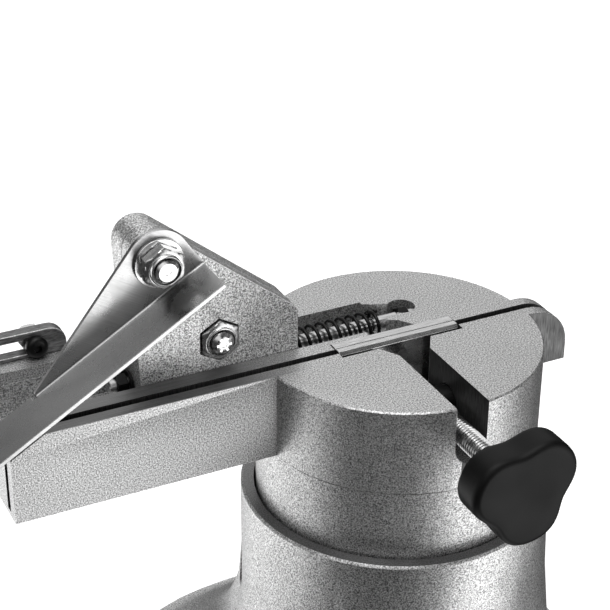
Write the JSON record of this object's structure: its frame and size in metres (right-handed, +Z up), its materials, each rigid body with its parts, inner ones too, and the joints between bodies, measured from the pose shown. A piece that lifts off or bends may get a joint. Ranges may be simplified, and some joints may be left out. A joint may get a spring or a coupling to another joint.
{
  "type": "pcb holder vise",
  "caption": "Swivelling slot vise: a cast arm and round head on a turntable in a cast base, with a screw-clamped jaw, a sprung sliding carriage and a sheet-steel lever.",
  "frame": {"origin": "on the swivel axis, on the flat underside of the base, at bench level", "axes": "+Z up; +X along the arm from its free end towards the head and the tail; the clamp knob points to -Y"},
  "size_m": [0.295, 0.1525, 0.2089],
  "materials": {
    "paint": "silver-grey speckled powder coat on cast iron",
    "machined": "dark machined steel",
    "bright": "bright ground or rolled steel",
    "zinc": "zinc-plated steel",
    "black_steel": "black oxide steel",
    "plastic": "fine-textured black plastic",
    "bronze": "plain bronze bearing washer"
  },
  "bodies": {
    "base": {"base_casting": "paint", "bottom_cover": "black_steel", "cover_screw_1": "zinc", "cover_screw_2": "zinc", "cover_screw_3": "zinc", "thrust_washer": "bronze"},
    "head": {"turntable": "paint", "head_body": "paint", "head_screw_1": "zinc", "head_screw_2": "zinc", "head_screw_3": "zinc", "kingpin": "zinc", "wave_washer": "bright", "kingpin_nut": "zinc", "barrel_nut": "black_steel", "rear_jaw": "bright", "jaw_screw_1": "black_steel", "jaw_screw_2": "black_steel", "guide_rod": "bright", "rod_lock_nut": "black_steel", "rod_stop_washer": "black_steel", "rod_stop_nut": "black_steel", "return_spring": "black_steel", "rear_fence": "machined", "fence_screw_1": "black_steel", "fence_screw_2": "black_steel", "stop_screw": "black_steel", "stop_nut": "zinc", "gib_strip": "machined", "gib_screw_1": "black_steel", "gib_screw_2": "black_steel"},
    "jaw": {"front_jaw": "bright", "pressure_pad": "bright"},
    "clamp": {"clamp_screw": "zinc", "clamp_knob": "plastic"},
    "carriage": {"front_cheek": "paint", "slide_block": "paint", "rear_cheek": "paint", "lower_bolt": "zinc", "lower_nut": "zinc", "pivot_bolt": "zinc", "pivot_spacer": "bright", "pivot_washer": "zinc", "pivot_nut": "zinc"},
    "lever": {"lever": "bright"}
  },
  "joints": [
    {"name": "head_swivel", "type": "hinge", "parent": "base", "child": "head", "pos_m": [0, 0, 0.06], "axis": [0, 0, 1], "continuous": true},
    {"name": "jaw_slide", "type": "slide", "parent": "head", "child": "jaw", "axis": [0, -1, 0], "range_m": [0, 0.002]},
    {"name": "clamp_turn", "type": "hinge", "parent": "jaw", "child": "clamp", "pos_m": [0, -0.072, 0.136], "axis": [0, -1, 0], "range_deg": [0, 576]},
    {"name": "carriage_slide", "type": "slide", "parent": "head", "child": "carriage", "axis": [1, 0, 0], "range_m": [0, 0.012], "stiffness_N_per_m": 500, "springref_m": -0.008, "deforming": ["return_spring"]},
    {"name": "lever_swing", "type": "hinge", "parent": "carriage", "child": "lever", "pos_m": [-0.0875, 0, 0.1979], "axis": [0, 1, 0], "range_deg": [0, 110]}
  ],
  "couplings": [
    {"joint": "clamp_turn", "follows": "jaw_slide", "rad_per_m": 5026.5}
  ]
}
